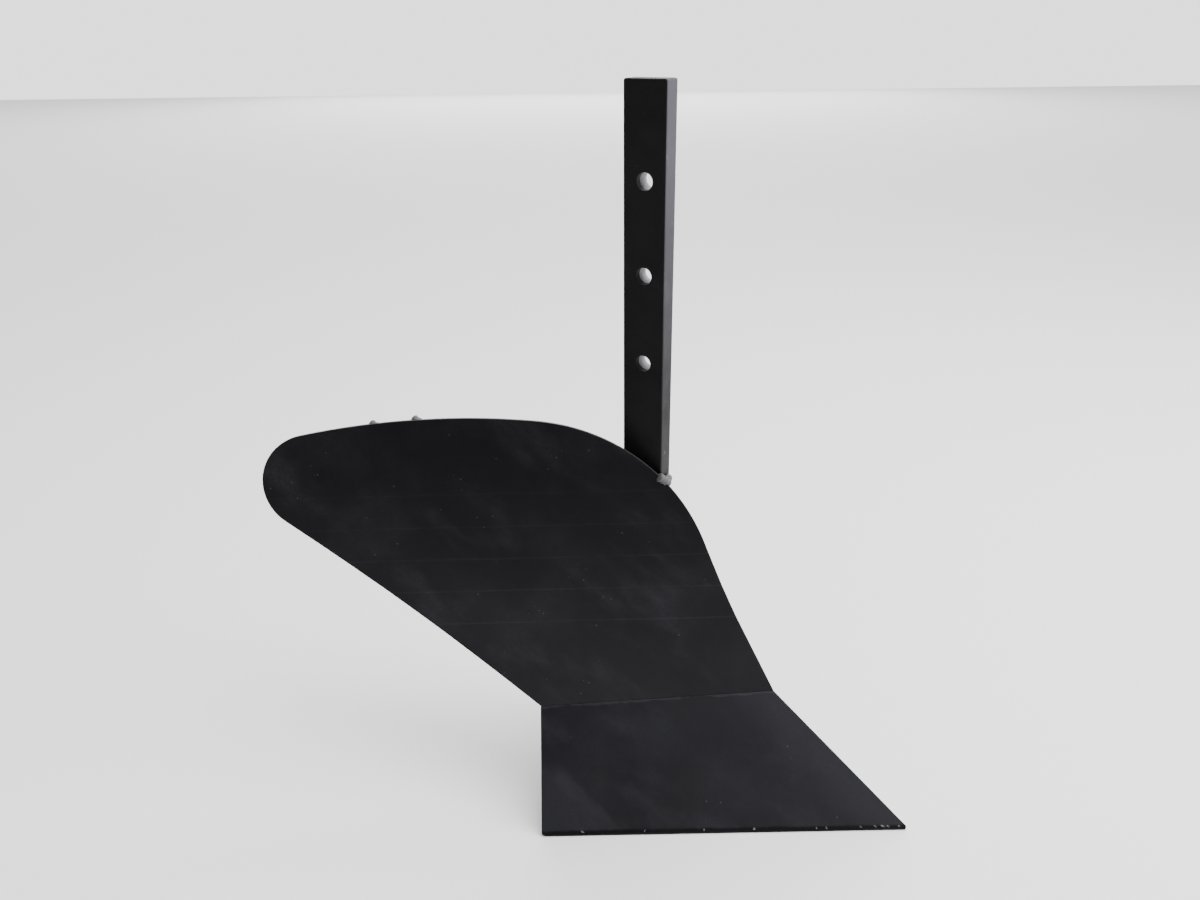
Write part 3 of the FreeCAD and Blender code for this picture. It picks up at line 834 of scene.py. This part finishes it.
def moldboard_cutter():
    """The outline traced point by point, then pulled through the sheet."""
    crown_start = crown + (shoulder - crown).normalized() * crown_radius
    crown_end = crown + (wing_end - crown).normalized() * crown_radius
    foot = outline_place(crease_wing)
    lower = circle_crossing(foot, lower_edge_radius, wing_end, lower_edge_radius + wing_end_radius, -1)
    lower_start = lower + (wing_end - lower).normalized() * lower_edge_radius
    first_step = below[1] - below[0]
    shin_end = below[0] - first_step * spare / first_step.y
    tangent = Vector((foot.y - lower.y, lower.x - foot.x))
    foot_end = foot - tangent * spare / tangent.y

    cutter = start(bpy.ops.mesh.primitive_plane_add, "outline_cutter", size=MM,
                   location=on_outline(shin_end))
    edit(cutter, "ALL")
    bpy.ops.mesh.merge(type="CENTER")
    for place in below + [shoulder_foot]:
        trace_line(place)
    trace_arc(shoulder, shoulder_foot, crown_start, 40)
    trace_arc(crown, crown_start, crown_end, 60)
    trace_arc(wing_end, crown_end, lower_start, 48)
    trace_arc(lower, lower_start, foot, 8)
    trace_line(foot_end)
    bpy.ops.mesh.select_all(action="SELECT")
    bpy.ops.mesh.edge_face_add()
    bpy.ops.transform.translate(value=mean_normal * cutter_reach)
    pull(-mean_normal * (2 * cutter_reach))
    done()
    tidy(cutter)
    return cutter


def make_moldboard(*finishes):
    plate = moldboard_sheet()
    paint(plate, *finishes)
    drill(plate, moldboard_cutter(), "INTERSECT")
    saw(plate, crease_shin, -seam_normal)
    tidy(plate)
    ease_edges(plate, sheet_edge)
    mark_cut_edges(plate, mean_normal, 0.9)
    return plate


def make_plain(node, *finishes):
    """A cut plate or bar that needs only eased edges."""
    deselect()
    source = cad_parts[node]
    source.select_set(True)
    bpy.context.view_layer.objects.active = source
    bpy.ops.object.duplicate()
    piece = bpy.context.object
    piece.name = node + "_plate"
    piece.data.name = piece.name
    edit(piece, "ALL")
    bpy.ops.mesh.remove_doubles(threshold=same_place)
    bpy.ops.mesh.dissolve_limited(angle_limit=math.radians(1))
    bpy.ops.mesh.normals_make_consistent(inside=False)
    done()
    paint(piece, *finishes)
    ease_edges(piece, bar_edge)
    return piece


def bead(start_point, end_point, radius, seed):
    """A run of weld metal with a ripple for every dab of the rod."""
    run = end_point - start_point
    ahead = run.normalized()
    dabs = max(round(run.length / dab_pitch), 2)
    profile = [0.45, 0.8, 0.97] + [1.0, 0.95, 0.9, 1.03] * dabs + [0.97, 0.8, 0.45]
    step = ahead * ((run.length + 1.2 * radius) / (len(profile) - 1))
    turn = Z.rotation_difference(ahead).to_euler()
    rope = start(bpy.ops.mesh.primitive_circle_add, "bead", vertices=14, radius=radius * profile[0],
                 fill_type="NGON", location=start_point - ahead * 0.6 * radius, rotation=turn)
    edit(rope, "ALL")
    for n in range(1, len(profile)):
        drift = Vector((math.sin(seed + 1.7 * n), math.sin(seed + 2.3 * n), math.cos(seed + 1.1 * n)))
        wave = 1 + 0.03 * math.sin(seed + 0.9 * n)
        size = wave * profile[n] / profile[n - 1]
        pull(step + (drift - ahead * drift.dot(ahead)) * 0.05 * MM)
        bpy.ops.transform.resize(value=(size, size, size))
    done()
    tidy(rope)
    return rope


def lay(node, *runs):
    """One weld of one or more runs of beads, as one piece."""
    ropes = [bead(a, b, bead_radius[node], seed) for seed, (a, b) in enumerate(runs)]
    deselect()
    for rope in ropes:
        rope.select_set(True)
    bpy.context.view_layer.objects.active = ropes[0]
    if len(ropes) > 1:
        bpy.ops.object.join()
    ropes[0].name = node + "_bead"
    ropes[0].data.name = ropes[0].name
    smooth(ropes[0], 60)
    paint(ropes[0], bright_weld if node in bright_welds else weld_coat)
    keep(ropes[0], "weld_coating", node)


# ---- The studio ----

camera_azimuth = 29.53
camera_pitch = 24.89
camera_roll = -0.72
camera_place = (0.22698, -0.45792, ground + 0.45315)
camera_lens = 27.9
floor_size = 12.4

# Each softbox: its name, its place, the height it is aimed at, its size and its watts
softboxes = [
    ("high_softbox", (0.5, 0.3, 1.2), -0.15, 1.4, 34),
    ("far_softbox", (-2.7, 4.8, 2.1), -0.1, 4.2, 234),
    ("front_side_softbox", (1.7, 0.5, 0.5), -0.1, 1.2, 22),
]


def hang_lamp(name, kind, place, turn, power):
    lamp = bpy.data.lights.new(name, kind)
    lamp.energy = power
    holder = bpy.data.objects.new(name, lamp)
    holder.location = place
    holder.rotation_euler = turn
    bpy.context.collection.objects.link(holder)
    return lamp


def make_lights():
    """A wide soft sky from above, and the softboxes."""
    skylight = hang_lamp("skylight", "SUN", (0, 1, 3), (math.radians(-20), 0, 0), 1.1)
    skylight.angle = math.radians(70)
    for name, place, aim_height, size, power in softboxes:
        aim = Vector((0, 0, aim_height)) - Vector(place)
        hang_lamp(name, "AREA", place, aim.to_track_quat("-Z", "Y").to_euler(), power).size = size


def make_room():
    """Bright behind the plough and dim where the camera stands, with a pale backdrop."""
    world = bpy.data.worlds.new("studio")
    world.use_nodes = True
    tree = world.node_tree
    across = along_axis(tree, tree.nodes.new("ShaderNodeTexCoord").outputs["Generated"], "Y")
    glow = window(tree, across, -0.55, 0.55, 0.18, 1.5)
    seen = tree.nodes.new("ShaderNodeLightPath").outputs["Is Camera Ray"]
    pale = reckon(tree, "MULTIPLY", seen, 2.1)
    background = tree.nodes["Background"]
    background.inputs["Color"].default_value = (1, 1, 1, 1)
    wire(tree, reckon(tree, "MAXIMUM", glow, pale), background.inputs["Strength"])
    bpy.context.scene.world = world


def make_floor():
    floor = start(bpy.ops.mesh.primitive_plane_add, "floor", size=floor_size,
                  location=(0, 0, ground), rotation=(0, 0, math.radians(camera_azimuth)))
    finish = bpy.data.materials.new("pale_floor")
    finish.use_nodes = True
    shader = finish.node_tree.nodes["Principled BSDF"]
    shader.inputs["Base Color"].default_value = (0.92, 0.92, 0.92, 1)
    shader.inputs["Roughness"].default_value = 0.9
    paint(floor, finish)


def make_camera():
    azimuth = math.radians(camera_azimuth)
    pitch = math.radians(camera_pitch)
    roll = math.radians(camera_roll)
    level_ahead = Vector((-math.sin(azimuth), math.cos(azimuth), 0))
    ahead = level_ahead * math.cos(pitch) - Z * math.sin(pitch)
    level = ahead.cross(Z).normalized()
    upright = level.cross(ahead)
    right = level * math.cos(roll) + upright * math.sin(roll)
    up = upright * math.cos(roll) - level * math.sin(roll)
    lens = bpy.data.cameras.new("camera")
    lens.lens = camera_lens
    lens.sensor_width = 36
    lens.clip_start = 0.01
    camera = bpy.data.objects.new("camera", lens)
    camera.matrix_world = Matrix((right, up, -ahead)).transposed().to_4x4()
    camera.location = camera_place
    bpy.context.collection.objects.link(camera)
    bpy.context.scene.camera = camera


# ---- The plough ----

keep(make_shank(shank_face, shank_edge, drilled_steel), "frame_coating", "shank")
keep(make_share(share_face, plate_edge, chip_steel), "plate_coating", "share")
keep(make_moldboard(moldboard_face, plate_edge), "plate_coating", "moldboard")
for node in ("landside", "web", "share_gusset", "moldboard_gusset", "wing_brace"):
    keep(make_plain(node, frame_face, frame_edge), "frame_coating", node)


def back_of(corner, normal, thickness, height, y):
    """The point of a plate's back face at a height and a distance to the left."""
    rest = thickness + normal.y * (y - corner.y) + normal.z * (height - corner.z)
    return Vector((corner.x - rest / normal.x, y, height))


def share_back(height, y):
    return back_of(tip, share_normal, share_thickness, height, y)


def moldboard_back(height, y):
    strip = 0
    while strip < len(strip_slopes) - 1 and height > shin[strip + 1].z:
        strip += 1
    return back_of(shin[strip], plate_normal(moldboard_angle, strip_slopes[strip]),
                   moldboard_thickness, height, y)


def share_bead(height, y):
    """A point of a bead that has sunk a little into the share's back."""
    return share_back(height, y) - share_normal * bead_sink


def moldboard_bead(height, y, sink=bead_sink):
    return moldboard_back(height, y) - first_normal * sink


def beside_landside(x, height):
    """A point on the line where the landside's right face is at this place and height."""
    return Vector((x, landside_right, height))


sunk = share_normal * (share_thickness + bead_sink)
lay("weld_crease", (crease_shin + crease_along * 2 * bead_setback - sunk,
                    crease_wing - crease_along * bead_setback - sunk))

# The nose: the share and the moldboard meet the landside and the web behind the shin.
nose_y = landside_right - bead_radius["weld_share_landside"]
gusset_foot = node_low("share_gusset").z
lay("weld_share_landside",
    (share_bead(ground + bead_setback, nose_y), share_bead(gusset_foot - 5 * MM, nose_y)),
    (share_bead(gusset_foot + 10 * MM, nose_y), share_bead(landside_top - 2 * MM, nose_y)))
web_foot = landside_top + 29 * MM
web_top = node_high("web").z - bead_setback
first_bend = shin[1].z
lay("weld_moldboard_web",
    (moldboard_bead(web_foot, nose_y), moldboard_bead(first_bend, nose_y)),
    (moldboard_bead(first_bend, nose_y), moldboard_bead(web_top, nose_y)))

# The shank's front: down the moldboard's edge to a bend, then across the bar.
front_low = node_low("weld_shank_front")
front_high = node_high("weld_shank_front")
bend_y = front_low.y + 8.0 * MM
bend_z = front_low.z + 4.2 * MM
lay("weld_shank_front",
    (Vector((half_depth + 0.4 * MM, front_low.y + 4.5 * MM, front_high.z - 4.6 * MM)),
     Vector((half_depth + 3.6 * MM, bend_y, bend_z))),
    (Vector((half_depth + 2.6 * MM, bend_y, bend_z)),
     Vector((half_depth + 0.6 * MM, left_face - 4.0 * MM, front_low.z + 4.0 * MM))))
side_x = half_depth - 1 * MM
side_low = node_low("weld_shank_side").z + 3.5 * MM
side_high = node_high("weld_shank_side").z - 3.5 * MM
lay("weld_shank_side", (Vector((side_x, right_face - 0.6 * MM, side_low)),
                        Vector((side_x, right_face + 0.4 * MM, side_high))))

# The shank's foot on the landside, and the web's two edges
foot_inset = 1.5 * MM
foot_y = (landside_right + left_face) / 2
lay("weld_shank_foot",
    (beside_landside(-half_depth + foot_inset, landside_top),
     beside_landside(half_depth - foot_inset, landside_top)),
    (Vector((-half_depth, foot_y - foot_inset, landside_top)),
     Vector((-half_depth, foot_y + foot_inset, landside_top))))
lay("weld_web_shank", (beside_landside(half_depth, landside_top + bead_setback),
                       beside_landside(half_depth, web_top)))
flat_end = node_high("weld_web_landside").x - 3 * MM
lay("weld_web_landside", (beside_landside(half_depth + bead_setback, landside_top),
                          beside_landside(flat_end, landside_top)))

# The two gussets, each along the bar and along its plate's back
gusset_low = node_low("share_gusset")
gusset_high = node_high("share_gusset")
gusset_far = gusset_low.y + bead_setback
lay("weld_share_gusset",
    (beside_landside(gusset_low.x + bead_setback, gusset_high.z),
     beside_landside(gusset_high.x - bead_setback, gusset_high.z)),
    (share_bead(gusset_high.z, gusset_far + bead_setback), share_bead(gusset_high.z, gusset_far)))
gusset_top = node_high("moldboard_gusset").z
gusset_far = node_low("moldboard_gusset").y + bead_setback
lay("weld_moldboard_gusset",
    (Vector((-half_depth + 2 * MM, right_face, gusset_top)),
     Vector((half_depth - bead_setback, right_face, gusset_top))),
    (moldboard_bead(gusset_top, gusset_far + 3 * bead_setback, 1 * MM),
     moldboard_bead(gusset_top, gusset_far, 1 * MM)))

# The brace runs from the shank's right face to the back of the moldboard's wing.
brace_foot = Vector((-1.5 * MM, right_face, ground + 140 * MM))
brace_top = on_outline(Vector((226.5 * MM, 172 * MM)))
brace_top = moldboard_back(brace_top.z, brace_top.y + 3.8 * MM)
brace_ahead = (brace_top - brace_foot).normalized()
brace_across = mean_normal.cross(brace_ahead).normalized()
brace_deep = brace_across.cross(brace_ahead).normalized()


def foot_corner(side, face):
    """Where one of the brace's four long edges meets the shank's right face."""
    corner = (brace_foot + brace_across * side * brace_width / 2
              + brace_deep * face * brace_thickness / 2)
    return corner + brace_ahead * ((right_face - corner.y) / brace_ahead.y)


ring = [foot_corner(1, 1), foot_corner(-1, 1), foot_corner(-1, -1), foot_corner(1, -1)]
lay("weld_brace_foot", *zip(ring, ring[1:] + ring[:1]))

# The two beads beside the brace's top end show a little above the moldboard's crown.
bead_up = brace_across.cross(mean_normal).normalized()
bead_back = mean_normal * 1.4 * MM
wing_bead_length = 32 * MM
far_bead_drop = 1.8 * MM
wing_runs = []
for side in (1, -1):
    beside = brace_top + brace_across * side * brace_width / 2
    drop = far_bead_drop if beside.dot(mold_along) > brace_top.dot(mold_along) else 0
    rise = (rise_to_crown(beside) - drop) / bead_up.dot(mean_up)
    high = beside + bead_up * rise - bead_back
    wing_runs.append((high - bead_up * wing_bead_length - bead_back, high))
lay("weld_wing_brace", *wing_runs)

make_floor()
make_camera()
make_lights()
make_room()

deselect()
